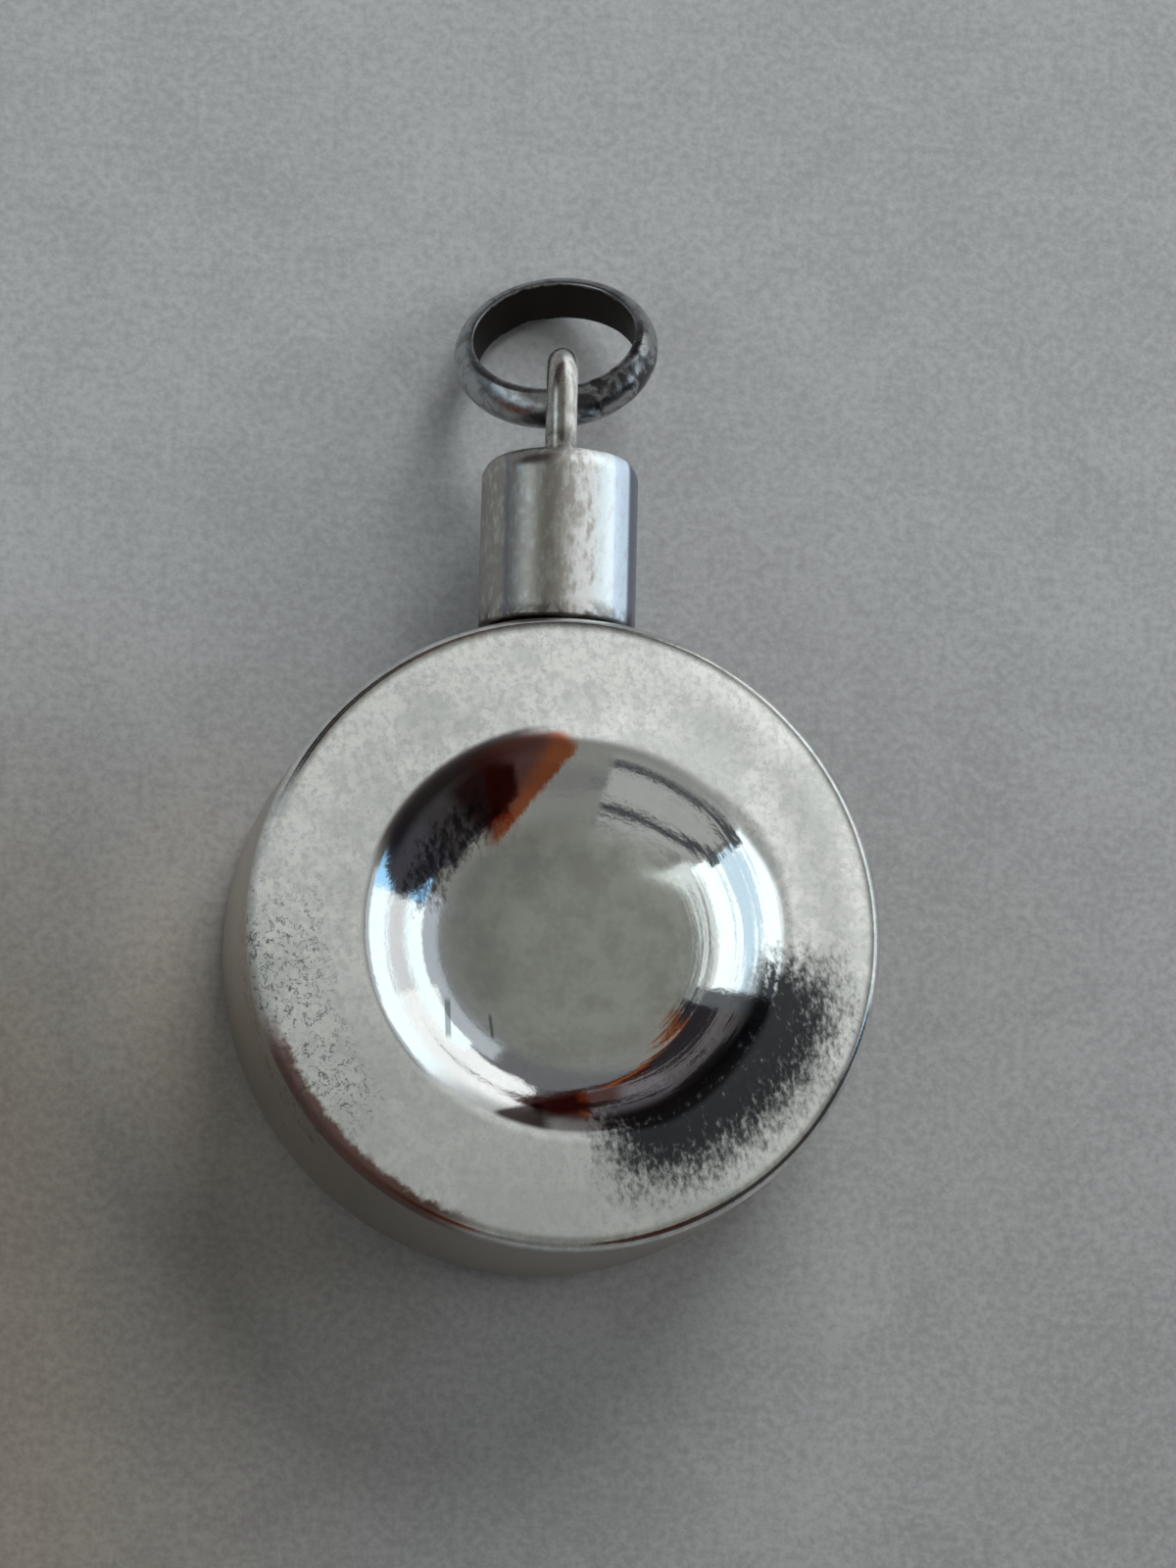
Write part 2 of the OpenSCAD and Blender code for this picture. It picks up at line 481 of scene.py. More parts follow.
# %% Flask body
flask_low, flask_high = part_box("flask")
BODY_R = (flask_high.x - flask_low.x) / 2 / MM
BODY_T = (flask_high.z - flask_low.z) / MM
BACK_ROUND = 1.2
FRONT_ROUND = 0.7
FACE_CROWN = 0.14  # the face falls by this much towards the rim
DISH_R = 9.7
DISH_WALL = [
    # radius, slope in degrees; the wall is steepest a little inside the lip
    (0.0, 0.0), (6.1, 27.0), (7.3, 34.6), (7.8, 36.5),
    (8.3, 35.2), (8.8, 33.3), (9.35, 29.0), (DISH_R, 0.0),
]
DISH_RINGS = 70
DISH_BUNCH = 0.85  # under 1, the rings lie closer together near the lip
POLE_R = 0.03  # the smallest ring, which closes on the axis
FACE_RINGS = 16
ROUND_STEPS = 12
FACE_LEAN = 86  # degrees, where the rounded edge meets the crowned face


def slope_at(radius):
    """The dish's slope at a radius, between the places in DISH_WALL, with soft turns."""
    for (r0, s0), (r1, s1) in zip(DISH_WALL, DISH_WALL[1:]):
        if radius <= r1:
            share = (radius - r0) / (r1 - r0)
            bend = share if s0 == 0 or s1 == 0 else share * share * (3 - 2 * share)
            return s0 + (s1 - s0) * bend
    return 0.0


def dish_profile():
    """Points from the lip down to the middle of the dish, found by following the slope inwards."""
    points, z = [], BODY_T
    for i in range(DISH_RINGS):
        outer, inner = (DISH_R * (1 - k / DISH_RINGS) ** DISH_BUNCH for k in (i, i + 1))
        z -= (outer - inner) * math.tan(math.radians(slope_at((outer + inner) / 2)))
        points.append((max(inner, POLE_R), z))
    return points


face_width = BODY_R - FRONT_ROUND - DISH_R
edge_z = BODY_T - FACE_CROWN - FRONT_ROUND
profile = straight((0, 0), (BODY_R - BACK_ROUND, 0), ROUND_STEPS)
profile += arc(BODY_R - BACK_ROUND, BACK_ROUND, BACK_ROUND, -90, 0, ROUND_STEPS)[1:]
profile += straight((BODY_R, BACK_ROUND), (BODY_R, edge_z), ROUND_STEPS)
profile += arc(BODY_R - FRONT_ROUND, edge_z, FRONT_ROUND, 0, FACE_LEAN, ROUND_STEPS + 2)[1:]
for i in range(1, FACE_RINGS + 1):
    outwards = 1 - i / FACE_RINGS
    profile.append((DISH_R + face_width * outwards, BODY_T - FACE_CROWN * outwards**2))
profile += dish_profile()
DISH_DEPTH = BODY_T - profile[-1][1]
body = lathe("flask_body", profile)
print("the dish is", round(DISH_DEPTH, 2), "mm deep")

# %% [markdown]
# The dish sits a little to one side of the drum's middle. It could be turned round its own centre,
# but then the drum's rim would have to be made apart. Sliding the rings of the face one by one, each
# by a smaller share than the one inside it, moves the dish without a crease.

# %% Slide and squash the dish
DISH_SHIFT = Vector((0.43, -0.06, 0))  # millimetres
DISH_SQUASH = 0.962  # the dish is a little shorter than it is wide
FULL_R = DISH_R + 0.01  # inside this radius the face moves fully
NONE_R = 12.8  # and outside this one not at all
FRONT_LOW = BODY_T - DISH_DEPTH - 0.5  # just under the bottom of the dish


def on_front(point):
    return point.z > FRONT_LOW and point.xy.length < NONE_R


def slide(share):
    """Moves and squashes what is selected by a share of the dish's slide and squash."""
    bpy.ops.transform.resize(
        value=(1, 1 - (1 - DISH_SQUASH) * share, 1),
        center_override=(0, 0, 0),
        constraint_axis=(False, True, False),
    )
    bpy.ops.transform.translate(value=DISH_SHIFT * share * MM)


rings = {}
for vertex in body.data.vertices:
    radius = round((vertex.co / MM).xy.length, 2)
    if on_front(vertex.co / MM) and radius > FULL_R:
        rings.setdefault(radius, []).append(vertex.index)
choose(body, lambda p: on_front(p) and p.xy.length <= FULL_R)
slide(1.0)
for radius, ring in rings.items():
    share = (NONE_R - radius) / (NONE_R - FULL_R)
    choose(body, lambda p: False)
    bpy.ops.object.mode_set(mode="OBJECT")
    for index in ring:
        body.data.vertices[index].select = True
    bpy.ops.object.mode_set(mode="EDIT")
    slide(share * share * (3 - 2 * share))
bpy.ops.object.mode_set(mode="OBJECT")
print("slid", len(rings), "rings of the face with the dish")

# %% [markdown]
# The lip of the real dish isn't quite round: at the top it is pushed in towards the middle. The wall
# of the dish there is selected by its place and moved, and proportional editing takes the face
# behind it along, as thin metal would follow. Moving the lip alone would leave the wall too steep.

# %% Worn place in the lip
WORN_LIP = (75, 20, 6.6)  # its middle and half width in degrees, and where it starts in millimetres
WORN_PUSH = 0.62  # millimetres towards the middle of the dish
WORN_REACH = 4.0  # millimetres


def in_worn_lip(point):
    middle, half_width, start = WORN_LIP
    off = (point - DISH_SHIFT).xy
    turned = abs(math.degrees(math.atan2(off.y, off.x)) - middle)
    return on_front(point) and start < off.length < DISH_R and turned < half_width


choose(body, in_worn_lip)
bpy.ops.transform.translate(
    value=(0, -WORN_PUSH * MM, 0),
    use_proportional_edit=True,
    proportional_edit_falloff="SMOOTH",
    proportional_size=WORN_REACH * MM,
)
bpy.ops.object.mode_set(mode="OBJECT")
print("pushed the lip in by", WORN_PUSH, "mm at the top")

# %% [markdown]
# Small knocks dent the face, and one larger one softens the lip at the lower right. A knock is one
# point pressed in, with the metal around it following by proportional editing. A bump in the
# material would be quicker, but a bump can't bend the lip that the mirror shows.

# %% Knocks in the face
KNOCKS = [
    # x, y, reach, depth; millimetres
    (8.4, -7.6, 4.2, 0.22),
    (-10.9, -3.6, 2.2, 0.035),
    (-11.2, -6.2, 1.8, 0.03),
    (11.4, 3.0, 2.4, 0.02),
]

for x, y, reach, depth in KNOCKS:
    front = [v for v in body.data.vertices if v.co.z > BODY_T / 2 * MM]
    nearest = min(front, key=lambda v: (v.co.xy / MM - Vector((x, y))).length).index
    choose(body, lambda p: False)
    bpy.ops.object.mode_set(mode="OBJECT")
    body.data.vertices[nearest].select = True
    bpy.ops.object.mode_set(mode="EDIT")
    bpy.ops.transform.translate(
        value=(0, 0, -depth * MM),
        use_proportional_edit=True,
        proportional_edit_falloff="SMOOTH",
        proportional_size=reach * MM,
    )
    bpy.ops.object.mode_set(mode="OBJECT")
print("pressed", len(KNOCKS), "knocks into the face")

# %% [markdown]
# The neck is soldered to the side of the drum. It is hidden while the cap is on, and shows as
# a plain tube with a collar when the cap is taken off.

# %% Neck
AXIS_Z = BODY_T / 2
NECK_R = 2.4
NECK_BORE_R = 1.5
COLLAR_R = 3.1
COLLAR_Y = 14.35
NECK_ROOT = 12.65
BORE_FLOOR = NECK_ROOT + 0.2  # the bore goes in as far as it can be seen
EDGE = 0.12  # rounding of the turned edges
neck_end = flask_high.y / MM
profile = [(0.5, NECK_ROOT), (COLLAR_R, NECK_ROOT)]
profile += straight((COLLAR_R, NECK_ROOT), (COLLAR_R, COLLAR_Y - EDGE), 3)
profile += arc(COLLAR_R - EDGE, COLLAR_Y - EDGE, EDGE, 0, 90, 4)[1:]
profile += straight((COLLAR_R - EDGE, COLLAR_Y), (NECK_R, COLLAR_Y), 2)
profile += straight((NECK_R, COLLAR_Y), (NECK_R, neck_end - EDGE), 6)
profile += arc(NECK_R - EDGE, neck_end - EDGE, EDGE, 0, 90, 4)[1:]
profile += arc(NECK_BORE_R + EDGE, neck_end - EDGE, EDGE, 90, 180, 4)
profile += straight((NECK_BORE_R, neck_end - EDGE), (NECK_BORE_R, BORE_FLOOR), 6)
neck = lathe("flask_neck", profile, 96)
set_down(neck, (0, 0, AXIS_Z), (-90, 0, 0))

# %% [markdown]
# The cap is a turned cup with a rounded shoulder. Its bore takes the neck with a twentieth of a
# millimetre to spare, so the cap can be lifted off without touching it.

# %% Cap
CAP_R = 3.5
CAP_Y = 14.45
CAP_TOP = 22.2
CAP_ROUND = 1.1
CAP_BORE_R = 2.45
CAP_BORE_END = 20.85
profile = straight((0, CAP_BORE_END), (CAP_BORE_R, CAP_BORE_END), 3)
profile += straight((CAP_BORE_R, CAP_BORE_END), (CAP_BORE_R, CAP_Y + EDGE), 8)
profile += arc(CAP_BORE_R + EDGE, CAP_Y + EDGE, EDGE, 180, 270, 4)[1:]
profile += arc(CAP_R - EDGE, CAP_Y + EDGE, EDGE, -90, 0, 4)
profile += straight((CAP_R, CAP_Y + EDGE), (CAP_R, CAP_TOP - CAP_ROUND), 12)
profile += arc(CAP_R - CAP_ROUND, CAP_TOP - CAP_ROUND, CAP_ROUND, 0, 90, 14)[1:]
profile += straight((CAP_R - CAP_ROUND, CAP_TOP), (0.3, CAP_TOP), 5)
cap = lathe("cap_shell", profile, 192)
set_down(cap, (0, 0, AXIS_Z), (-90, 0, 0))

# %% [markdown]
# The loop is a short length of half-round wire bent into a hairpin and soldered upright on the cap.
# Its section starts as a circle, whose inner half is squashed nearly flat. The section is
# spun through half a turn, and its two ends are then drawn down into the cap.

# %% Loop
LOOP_CENTRE_Y = 24.5
EYE_R = 1.7
LOOP_W = 1.4
LOOP_T = 1.05
LOOP_TURN = 9  # the cap is turned a little on the neck
LOOP_SINK = 0.35
OUTER_SHARE = 0.72  # the crown's part of the wire's thickness
ENDS_Z = 1e-4  # millimetres, within which a point belongs to one of the bent wire's two ends

bpy.ops.object.select_all(action="DESELECT")
bpy.ops.mesh.primitive_circle_add(vertices=40, radius=LOOP_W / 2 * MM)
loop = bpy.context.object
loop.name = loop.data.name = "cap_loop"
outer_t, inner_t = LOOP_T * OUTER_SHARE, LOOP_T * (1 - OUTER_SHARE)
choose(loop, lambda p: p.x > 0)
bpy.ops.transform.resize(value=(outer_t / (LOOP_W / 2), 1, 1), center_override=(0, 0, 0))
choose(loop, lambda p: p.x < 0)
bpy.ops.transform.resize(value=(inner_t / (LOOP_W / 2), 1, 1), center_override=(0, 0, 0))
bpy.ops.mesh.select_all(action="SELECT")
bpy.ops.transform.translate(value=((EYE_R + inner_t) * MM, 0, 0))
bpy.ops.object.mode_set(mode="OBJECT")
print("loop section", [round(x / MM, 2) for x in loop.dimensions], "mm")

# %% Bend the loop
leg = LOOP_CENTRE_Y - CAP_TOP + LOOP_SINK
bpy.ops.object.mode_set(mode="EDIT")
bpy.ops.mesh.select_all(action="SELECT")
bpy.ops.mesh.spin(steps=64, angle=math.pi, center=(0, 0, 0), axis=(0, 1, 0))
choose(loop, lambda p: abs(p.z) < ENDS_Z)
for _ in range(4):
    bpy.ops.mesh.extrude_edges_move(TRANSFORM_OT_translate={"value": (0, 0, -leg / 4 * MM)})
bpy.ops.mesh.select_all(action="DESELECT")
bpy.ops.mesh.select_non_manifold()
bpy.ops.mesh.edge_face_add()
bpy.ops.mesh.select_all(action="SELECT")
bpy.ops.mesh.remove_doubles(threshold=WELD)
bpy.ops.mesh.normals_make_consistent(inside=False)
bpy.ops.object.mode_set(mode="OBJECT")
bpy.ops.object.shade_smooth()
set_down(loop, (0, LOOP_CENTRE_Y, AXIS_Z), (-90, 90 - LOOP_TURN, 0))
low, high = (Vector([f(v.co[i] for v in loop.data.vertices) for i in range(3)]) for f in (min, max))
print("loop", [round(x / MM, 3) for x in (*low, *high)], len(loop.data.polygons))

# %% [markdown]
# The jump ring is half-round too, but wide and thin: flat inside and crowned outside. It hangs
# through the loop and leans from it down to the surface.

# %% Jump ring
RING_R = 3.65
RING_W = 2.1
RING_T = 0.96
RING_EDGE_T = 0.36
RING_CENTRE = (0, 27.580, 3.403)
RING_TURN = (-36.5, -16, 0)
rise = RING_T - RING_EDGE_T
crown_r = ((RING_W / 2) ** 2 + rise**2) / (2 * rise)
half_crown = math.degrees(math.asin(RING_W / 2 / crown_r))
RING_SOFT = 0.1
profile = [(RING_R, 0)]
profile += straight((RING_R, 0), (RING_R, -RING_W / 2 + RING_SOFT), 5)
profile += arc(RING_R + RING_SOFT, -RING_W / 2 + RING_SOFT, RING_SOFT, 180, 270, 4)[1:]
profile += arc(RING_R + RING_T - crown_r, 0, crown_r, -half_crown, half_crown, 24)
profile += arc(RING_R + RING_SOFT, RING_W / 2 - RING_SOFT, RING_SOFT, 90, 180, 4)
profile += straight((RING_R, RING_W / 2 - RING_SOFT), (RING_R, 0), 5)
ring = lathe("jump_ring_band", profile, 192, closed=True)
set_down(ring, RING_CENTRE, RING_TURN)
low, high = (Vector([f(v.co[i] for v in ring.data.vertices) for i in range(3)]) for f in (min, max))
print("ring", [round(x / MM, 3) for x in (*low, *high)])

# %% [markdown]
# Worn silver isn't one finish. Hands and cloth rub the high places dull with fine scratches, while
# the hollows keep their polish and collect dark tarnish. Each material below therefore starts from
# the same recipe: a clean colour, darker coats laid over it where a mask says so, a roughness, and a
# height for the bump. The masks come from the place on the piece in millimetres. Satin could be made
# with roughness alone, but it then still mirrors the dark boards. Where the silver is rubbed to satin
# its Metallic is lowered as well, so that it takes the lamps' light as plaster does.

# %% The recipe for silver
CLEAN = (0.93, 0.915, 0.88)


def in_millimetres(paint, centre=(0, 0, 0), turn=(0, 0, 0)):
    """The place on a piece, measured from its own centre and along its own axes."""
    place = paint.node("ShaderNodeTexCoord").outputs["Object"]
    big = paint.node("ShaderNodeVectorMath", {"operation": "SCALE"}, {0: place, "Scale": 1 / MM})
    mapping = paint.node(
        "ShaderNodeMapping",
        {"vector_type": "TEXTURE"},
        {"Vector": big.outputs[0], "Location": centre, "Rotation": [math.radians(a) for a in turn]},
    )
    return mapping.outputs[0]


def turned_round(paint, place, turn):
    """The three parts of a place, with the piece turned about Z by an angle in degrees."""
    turned = paint.node(
        "ShaderNodeMapping", None, {"Vector": place, "Rotation": (0, 0, math.radians(turn))}
    )
    return paint.xyz(turned.outputs[0])


def scratches(paint, place, turn, fine=9.0):
    """Long fine lines across the piece, as a height from 0 to 1."""
    x, y, z = turned_round(paint, place, turn)
    return paint.noise(paint.vector(x * 0.35, y * fine, z * 2), 1.0, 2, 0.6)


def silver(paint, colour, rough, height, bump=0.1, metal=1.0):
    """Closes a silver from its colour, roughness, bump height in millimetres and share of metal."""
    relief = paint.node("ShaderNodeBump", None, {"Strength": bump, "Distance": MM, "Height": height})
    skin = paint.node(
        "ShaderNodeBsdfPrincipled", None,
        {"Base Color": colour, "Metallic": metal, "Roughness": rough, "Normal": relief.outputs[0]},
    )
    paint.node("ShaderNodeOutputMaterial", None, {"Surface": skin.outputs[0]})


def dress(piece, material, body_name, node_name):
    """Gives a piece its finish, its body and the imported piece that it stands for."""
    piece.data.materials.append(material)
    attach(piece, body_name)
    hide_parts(node_name)


# %% Places on the flask
flask_silver = bpy.data.materials.new("flask_silver")
paint = Paint(flask_silver)
place = in_millimetres(paint)
x, y, z = paint.xyz(place)
off_x, off_y = x - DISH_SHIFT.x, (y - DISH_SHIFT.y) / DISH_SQUASH
from_dish = (off_x * off_x + off_y * off_y) ** 0.5
from_middle = (x * x + y * y) ** 0.5
front = paint.step(z, 7.0, 7.3)  # the bottom of the dish is the lowest place of the front


def towards(angle):
    """1 on the side of the dish that lies at an angle in degrees, -1 on the far side."""
    cosine, sine = math.cos(math.radians(angle)), math.sin(math.radians(angle))
    return (off_x * cosine + off_y * sine) / from_dish


def rim_towards(angle):
    """The same, seen from the middle of the flask."""
    cosine, sine = math.cos(math.radians(angle)), math.sin(math.radians(angle))
    return (x * cosine + y * sine) / from_middle


def past(place_x, place_y, angle):
    """How many millimetres a point lies past a place, along a direction in degrees."""
    cosine, sine = math.cos(math.radians(angle)), math.sin(math.radians(angle))
    return (x - place_x) * cosine + (y - place_y) * sine


cloud = paint.noise(place, 0.32, 3, 0.5)
mottle = paint.noise(place, 1.3, 5, 0.62, 0.5)
speckle = paint.noise(place, 3.4, 4, 0.7)
slant_x, slant_y, _ = turned_round(paint, place, -14)
fleck = paint.noise(paint.vector(slant_x * 2.6, slant_y * 1.3, z), 1.0, 4, 0.6)
fine_fleck = paint.noise(paint.vector(slant_x * 5.5, slant_y * 3.0, z), 1.0, 4, 0.65)
lines = scratches(paint, place, 35) * 0.5 + scratches(paint, place, -50) * 0.5
ripples = paint.noise(paint.vector(from_dish * 2.0, off_x * 0.08, off_y * 0.08), 1.0, 2, 0.5)
print("places on the flask are measured")

# %% [markdown]
# The flat face is rubbed to satin, brightest towards the right window and along its right edge. The
# wall of the dish was out of reach of the cloth and is still a mirror, with faint rings from the
# punch, and the bowl is in between. One roughness for all would be simpler, but the sharp change at
# the lip is what makes the dish read as deep.

# %% Polish on the flask
soft_side = paint.step(towards(25), 0.0, 0.6)
soft_ends = paint.step(towards(66), 0.6, 0.9) + paint.step(towards(258), 0.8, 0.95)
in_dish = paint.step(from_dish + soft_side * 0.3 + soft_ends * 0.35, 9.7, 9.3) * front
in_bowl = paint.step(from_dish, 6.1, 4.9) * front
on_wall = in_dish * (1 - in_bowl)
left_rim = paint.step(rim_towards(198), 0.62, 0.9)
on_side = paint.step(from_middle, 13.25, 13.6) * (1 - left_rim * paint.step(z, 9.6, 10.1))
on_face = front * (1 - in_dish) * (1 - on_side)

face_rough = 0.48 + (mottle - 0.5) * 0.4 + (speckle - 0.5) * 0.3
lip_worn = paint.step(from_dish, 8.0, 8.9) * paint.step(abs(towards(100)), 0.45, 0.8)
dish_rough = 0.06 + lip_worn * 0.25 + (mottle - 0.5) * 0.06 + in_bowl * 0.11
side_rough = 0.14 + (mottle - 0.5) * 0.15 + paint.step(z, 10.2, 9.6) * 0.16
rough = face_rough + (dish_rough - face_rough) * in_dish
rough = rough + (side_rough - rough) * on_side
print("roughness of the face, the dish and the side is set")

# %% Rings of the punch, scratches and satin
right_side = paint.step(towards(-12), 0.3, 0.9)
height = lines * 0.012 * (1 - in_dish) + mottle * 0.02 + speckle * 0.008
height = height + ripples * (0.012 + right_side * 0.06) * on_wall

bright_side = paint.step(rim_towards(30), -0.3, 0.95)
right_band = paint.step(from_middle, 11.9, 13.0) * paint.step(rim_towards(10), 0.3, 0.8)
lip_band = paint.step(from_dish, 11.4, 9.7) * paint.step(towards(25), -0.1, 0.7)
metal = 1 - on_face * (0.57 + bright_side * 0.20 + (right_band + lip_band) * 0.2)
print("satin and scratches lie on the face only")

# %% [markdown]
# Tarnish gathers where no cloth reaches: as a thin dark film in the upper left of the dish, which is
# partly painted dark reflection, and in pits along the worn left edge. The lower right of the face
# darkens in speckled streaks, and the brown along the rim below the worn edge is a painted reflection.
# Each could be painted by hand as a picture. A mask made of a place and a noise does the same, keeps
# its fineness close up, and can be moved by changing one number.

# %% Dark streaks, tarnish film, pits and painted rim reflection
# the face and lip darken in speckled streaks at the lower right; inside the dish the streaks follow the
# punch's rings
lower_right = paint.step(towards(-43), 0.64, 0.95)
reach = paint.step(from_dish, 7.0, 8.4) * (1 - paint.step(from_dish, 9.4, 14.6))
dark_streak_reach = lower_right * reach
dark_streaks = dark_streak_reach * 1.25 + (fleck - 0.5) * 1.3 + (fine_fleck - 0.5) * 1.7 + (ripples - 0.5) * 1.6 * in_dish
dark_streaks = paint.step(dark_streaks, 0.12, 1.05) * paint.step(dark_streak_reach, 0.02, 0.25) * front
dark_streaks = dark_streaks * (1 - in_dish * paint.step(from_dish, 8.6, 7.8) * 0.7)
dark_streak_colour = paint.mix(paint.step(dark_streak_reach, 0.25, 0.8), (0.075, 0.077, 0.082), (0.012, 0.013, 0.018))

# tarnish with painted dark reflection in the upper left of the dish
upper_left = paint.step(towards(145), 0.78, 0.97) * paint.step(abs(from_dish - 6.9), 2.2, 0.2)
veil_and_painted_reflection = upper_left * 0.85 + (fleck - 0.5) * 1.6 + (fine_fleck - 0.5) * 1.4
veil_and_painted_reflection = paint.step(veil_and_painted_reflection, 0.4, 1.1) * paint.step(upper_left, 0.02, 0.2) * front

crack = paint.step(abs(mottle - 0.5), 0.020, 0.006) * paint.step(speckle, 0.40, 0.52)
worn_left = paint.step(from_middle, 10.2, 11.6) * paint.step(rim_towards(200), 0.86, 0.97) * front
pits = crack * worn_left + paint.step(fleck, 0.40, 0.34) * worn_left * 0.6

# painted reflection: brown on the rim at the lower left, below the worn edge
painted_rim_reflection = paint.step(from_middle + (mottle - 0.5) * 0.8 + (speckle - 0.5) * 0.5, 13.2, 13.55)
painted_rim_reflection = painted_rim_reflection * paint.step(rim_towards(226), 0.86, 0.95) * paint.step(z, 9.7, 10.0)
print("soot, veil, pits and the brown rim have their masks")

# %% Tones of the worn metal, with painted shade and painted reflections
smudge = paint.step(cloud * 0.35 + mottle * 0.4 + speckle * 0.25, 0.42, 0.60)
dappled = paint.step(speckle * 0.5 + fleck * 0.5, 0.46, 0.60)
# painted shade: the face darkens towards the bottom and lower left, away from the lamps
painted_shade_below = paint.step(rim_towards(268), -0.4, 1.0) * on_face
worn_metal_and_painted_light = paint.layers(
    CLEAN,
    (smudge * 0.6, (0.67, 0.705, 0.685)),
    (dappled * 0.5, (0.56, 0.57, 0.54)),
    (crack * on_face * 0.3, (0.35, 0.36, 0.34)),
    (paint.step(cloud, 0.44, 0.62) * 0.35, (0.58, 0.59, 0.57)),
    (on_wall * 0.8, (0.96, 0.965, 0.96)),
    # painted reflection of the shadowed floor, with some tarnish: the side below the rim is darker and
    # browner
    (on_side * paint.step(z, 10.3, 9.9) * 0.9, (0.54, 0.48, 0.43)),
    (painted_shade_below * 0.6, (0.42, 0.43, 0.40)),
    (painted_rim_reflection * 0.9, (0.14, 0.05, 0.035)),
)

calm = paint.noise(place, 0.5, 3, 0.55, 0.2)
cloudy = paint.step(calm * 0.6 + mottle * 0.2 + speckle * 0.2, 0.40, 0.62)
# painted dark reflection: the bowl is darker towards its upper left
painted_dark_side = paint.step(towards(160), -0.2, 0.9) * paint.step(from_dish, 1.0, 4.5)
bowl = paint.layers(
    (0.95, 0.98, 0.91),
    (cloudy * 0.7, (0.66, 0.67, 0.63)),
    (painted_dark_side * (0.25 + mottle * 0.4), (0.42, 0.42, 0.42)),
)
print("the bowl is mixed apart from the rest, because it is stained more evenly")

# %% Painted reflections in the dish
# painted reflections of two window bars, as short dark marks at the lower left of the dish
painted_bar_reflection_long = paint.step(abs(off_x + 5.36), 0.17, 0.10) * paint.step(abs(off_y + 3.9), 1.1, 0.7)
painted_bar_reflection_short = paint.step(abs(off_x + 3.75 + off_y * 0.1), 0.10, 0.05)
painted_bar_reflection_short = painted_bar_reflection_short * paint.step(abs(off_y + 4.1), 0.7, 0.4)
# painted dark reflection on the lip at the upper left of the dish
painted_dark_lip = paint.step(towards(131), 0.82, 0.93) * paint.band(from_dish, 8.3, 8.9, 9.45, 9.75)

# painted reflection: a dark point at the bottom of the lower right crescent and the orange-brown line
# along its inner side
below = past(-2.9, -7.99, -74.87)
painted_reflection_tip = paint.step(below, -0.12, 0.1) * paint.step(from_dish, 9.25, 8.95)
painted_reflection_tip = painted_reflection_tip * paint.band(x, -3.3, -2.7, -1.0, -0.2) * front
painted_reflection_edge = paint.band(below, -0.12, 0.1, 0.6, 0.9) * paint.band(x, -1.0, -0.3, 2.2, 3.2) * front

# painted reflection: an orange band at the upper left of the dish, browner at its outer end
along = past(-0.06, 8.2, 232.64)
across = past(-0.06, 8.2, 142.64) + (fine_fleck - 0.5) * 0.7
painted_orange_reflection = paint.band(across, -0.42, -0.12, 2.4, 3.4) * paint.band(along, -0.5, 0.1, 4.6, 5.6)
painted_orange_reflection = painted_orange_reflection * paint.step(from_dish, 9.45, 9.1) * front
painted_orange_edge = paint.step(across + along * 0.15, 0.4, 1.3)
painted_orange_colour = paint.mix(painted_orange_edge, (0.64, 0.165, 0.045), (0.25, 0.10, 0.09))
# the stains printed here are painted reflections
print("stains lie at the upper left, at the bottom and in two short marks")

# %% Dress the flask
colour = paint.layers(
    paint.mix(in_bowl, worn_metal_and_painted_light, bowl),
    ((painted_bar_reflection_long + painted_bar_reflection_short) * 0.7, (0.16, 0.17, 0.17)),
    (painted_dark_lip * 0.9, (0.085, 0.06, 0.06)),
    (painted_reflection_tip * 0.9, (0.06, 0.02, 0.013)),
    (painted_reflection_edge * 0.85, (0.36, 0.14, 0.10)),
    (painted_orange_reflection * 0.95, painted_orange_colour),
    (dark_streaks * 0.97, dark_streak_colour),
    (veil_and_painted_reflection * 0.85, (0.06, 0.055, 0.065)),
    (pits * 0.9, (0.09, 0.09, 0.085)),
)
silver(paint, colour, rough, height - pits * 0.03, 0.25, metal)
dress(body, flask_silver, "flask", "flask")
dress(neck, flask_silver, "flask", "flask")
print("flask dressed")

# %% [markdown]
# The cap is handled most, so it is worn to a duller, hazy silver. It is browner and darker towards
# its left. Its right side has a painted blue-white highlight stripe where the window would show, and
# painted dark lines stand for reflections of the horizon and of the dark at its right edge. On a turned
# piece every stripe runs along the axis, so the stripes need only x, the place across the cap. The
# loop is soldered to the cap and shares its silver.

# %% Finish of the cap
cap_silver = bpy.data.materials.new("cap_silver")
paint = Paint(cap_silver)
place = in_millimetres(paint)
x, y, z = paint.xyz(place)
mottle = paint.noise(place, 1.0, 5, 0.65, 0.5)
fleck = paint.noise(paint.vector(x * 3.4, y * 1.5, z * 3.4), 1.0, 4, 0.6)
on_loop = paint.step(y, 22.3, 22.6)

cap_satin = paint.band(x, -1.2, 0.35, 2.7, 2.9) * paint.step(z, AXIS_Z, AXIS_Z + 1)
loop_satin = paint.step(x, -0.36, -0.18) * paint.step(z, AXIS_Z + 1.4, AXIS_Z + 2.2)
satin = cap_satin + (loop_satin - cap_satin) * on_loop
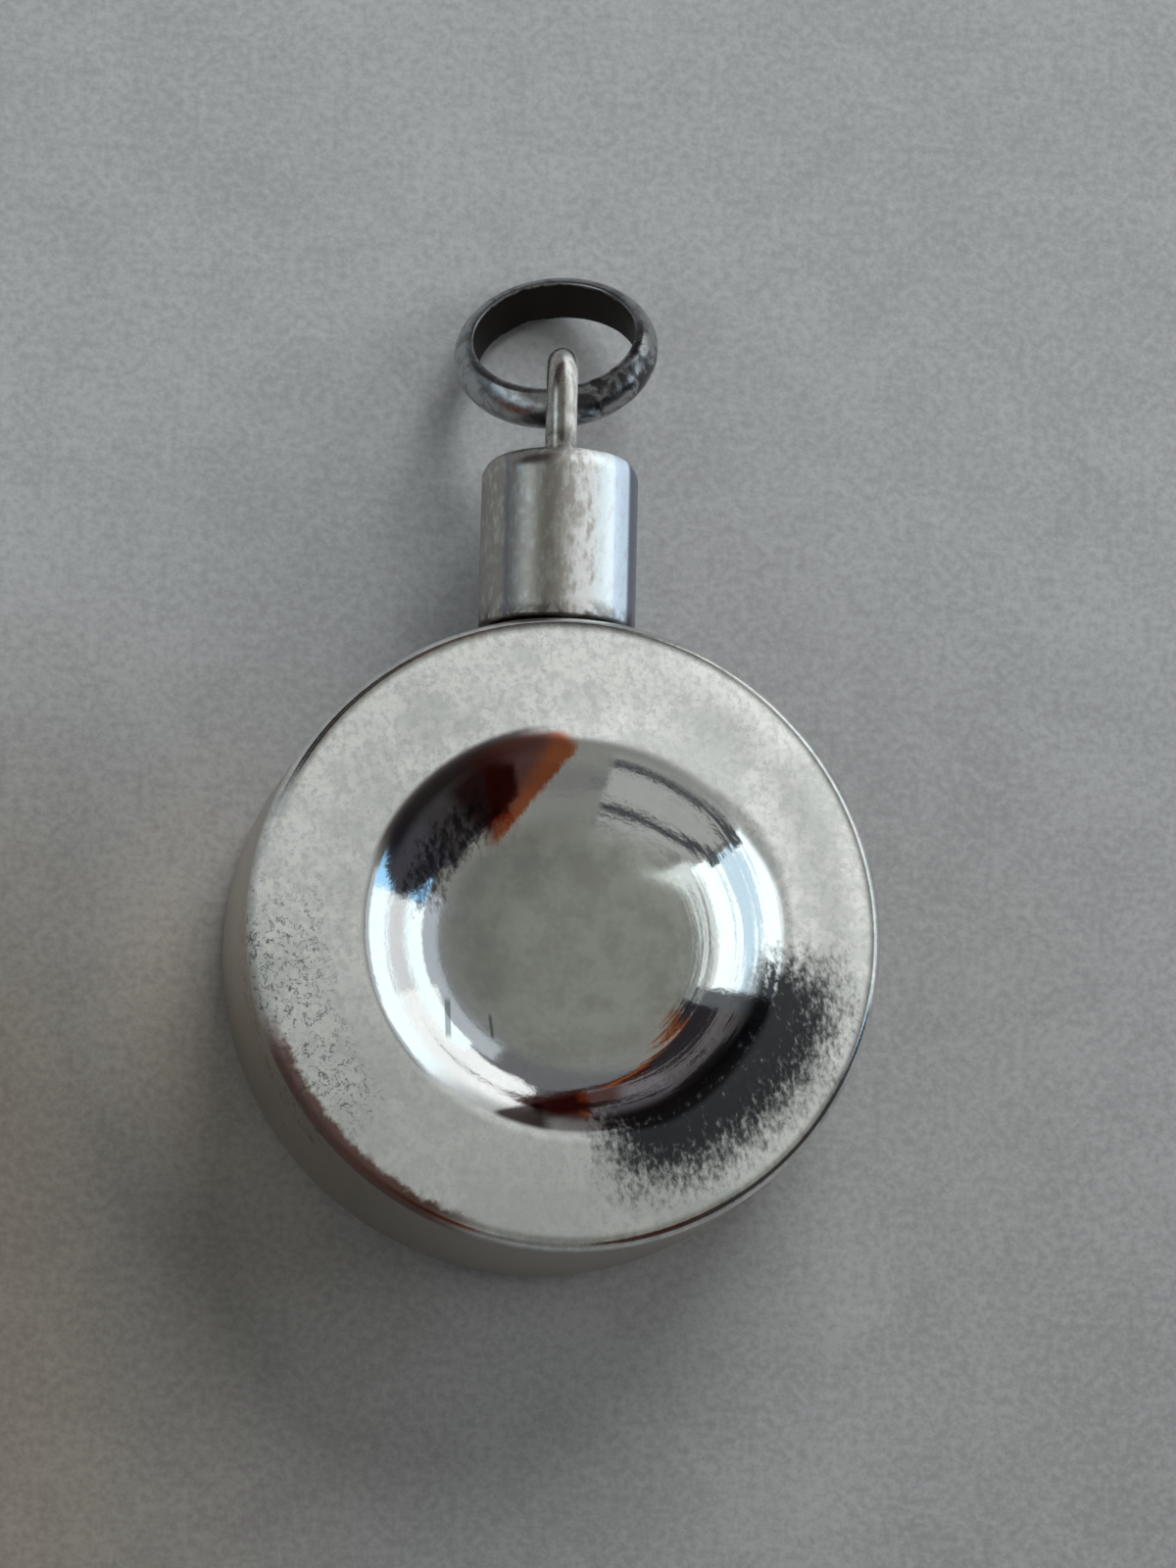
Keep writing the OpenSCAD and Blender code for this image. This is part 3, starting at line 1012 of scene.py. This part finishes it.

# the cap is browner and darker towards its left
browner_left = paint.step(x + (mottle - 0.5) * 3.0, 0.9, -0.9)
haze = paint.step(mottle * 0.4 + fleck * 0.6 + browner_left * 0.1, 0.46, 0.64)
# painted highlight: a blue-white stripe on the right of the cap, with a thin darker blue line in it
painted_blue_highlight = paint.step(x, 0.95, 1.3) * (1 - on_loop)
# painted reflection of the horizon: a dark line on the left of the cap
painted_horizon_line = paint.step(abs(x + 2.7 + (mottle - 0.5) * 0.2), 0.16, 0.04) * (1 - on_loop)
# painted shade and reflection where the cap meets the flask and where the loop meets the cap
painted_joint_shade = paint.step(y, 15.4, 14.5) + paint.step(abs(y - 22.5), 0.9, 0.1)
colour = paint.layers(
    (0.90, 0.92, 0.92),
    (browner_left, (0.62, 0.61, 0.58)),
    # painted dark reflection: a stripe left of the cap's middle
    (paint.step(abs(x + 1.75), 0.6, 0.2) * 0.7, (0.40, 0.39, 0.37)),
    (painted_blue_highlight, (0.86, 0.96, 1.0)),
    (painted_blue_highlight * paint.step(x, 2.0, 2.12), (0.66, 0.80, 0.95)),
    (haze * (0.8 - painted_blue_highlight * 0.55), (0.38, 0.345, 0.31)),
    # painted dark reflection along the cap's right edge
    (paint.step(x, 2.72, 2.95) * 0.8, (0.20, 0.21, 0.27)),
    (painted_horizon_line * 0.7, (0.30, 0.31, 0.36)),
    (painted_joint_shade * paint.step(mottle, 0.4, 0.6) * 0.7, (0.07, 0.055, 0.05)),
)
rough = 0.26 + browner_left * 0.06 + (mottle - 0.5) * 0.3 - on_loop * 0.04
silver(paint, colour, rough, mottle * 0.02 + fleck * 0.01, 0.3, 1 - satin * 0.7)
dress(cap, cap_silver, "cap", "cap")
dress(loop, cap_silver, "cap", "cap")
print("cap dressed")

# %% [markdown]
# The ring is the darkest piece. Its flat inside was never polished and is nearly black, and tarnish
# sits in patches on its crown. The pattern is centred on the ring and leans with it, so that inside
# and crown can be told apart by the distance from the ring's own axis.

# %% Finish of the jump ring
ring_silver = bpy.data.materials.new("ring_silver")
paint = Paint(ring_silver)
place = in_millimetres(paint, RING_CENTRE, RING_TURN)
x, y, z = paint.xyz(place)
from_axis = (x * x + y * y) ** 0.5
towards_side = (x * 0.75 - y * 0.66) / from_axis
mottle = paint.noise(place, 1.3, 4, 0.6, 0.4)
speckle = paint.noise(place, 4.5, 3, 0.6)
inside = paint.step(from_axis, RING_R + 0.14, RING_R + 0.04)
inside = inside * paint.step(abs(z) + (mottle - 0.5) * 0.5, 1.02, 0.9)
sunk = paint.step(towards_side, 0.5, 0.85) * paint.step(z, -0.9, -0.3) * paint.step(mottle, 0.40, 0.56)
colour = paint.layers(
    (0.44, 0.45, 0.46),
    (paint.step(mottle, 0.44, 0.62) * 0.6, (0.15, 0.15, 0.155)),
    (inside, (0.05, 0.043, 0.04)),
    (sunk * 0.85, (0.06, 0.06, 0.065)),
)
rough = 0.27 + (mottle - 0.5) * 0.16 + inside * 0.3
silver(paint, colour, rough, mottle * 0.02 + speckle * 0.004, 0.2)
dress(ring, ring_silver, "cap", "jump_ring")
print("ring dressed")

# %% Size and finish
low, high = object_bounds()
print("visual model", [round(x / MM, 3) for x in (*low, *high)])
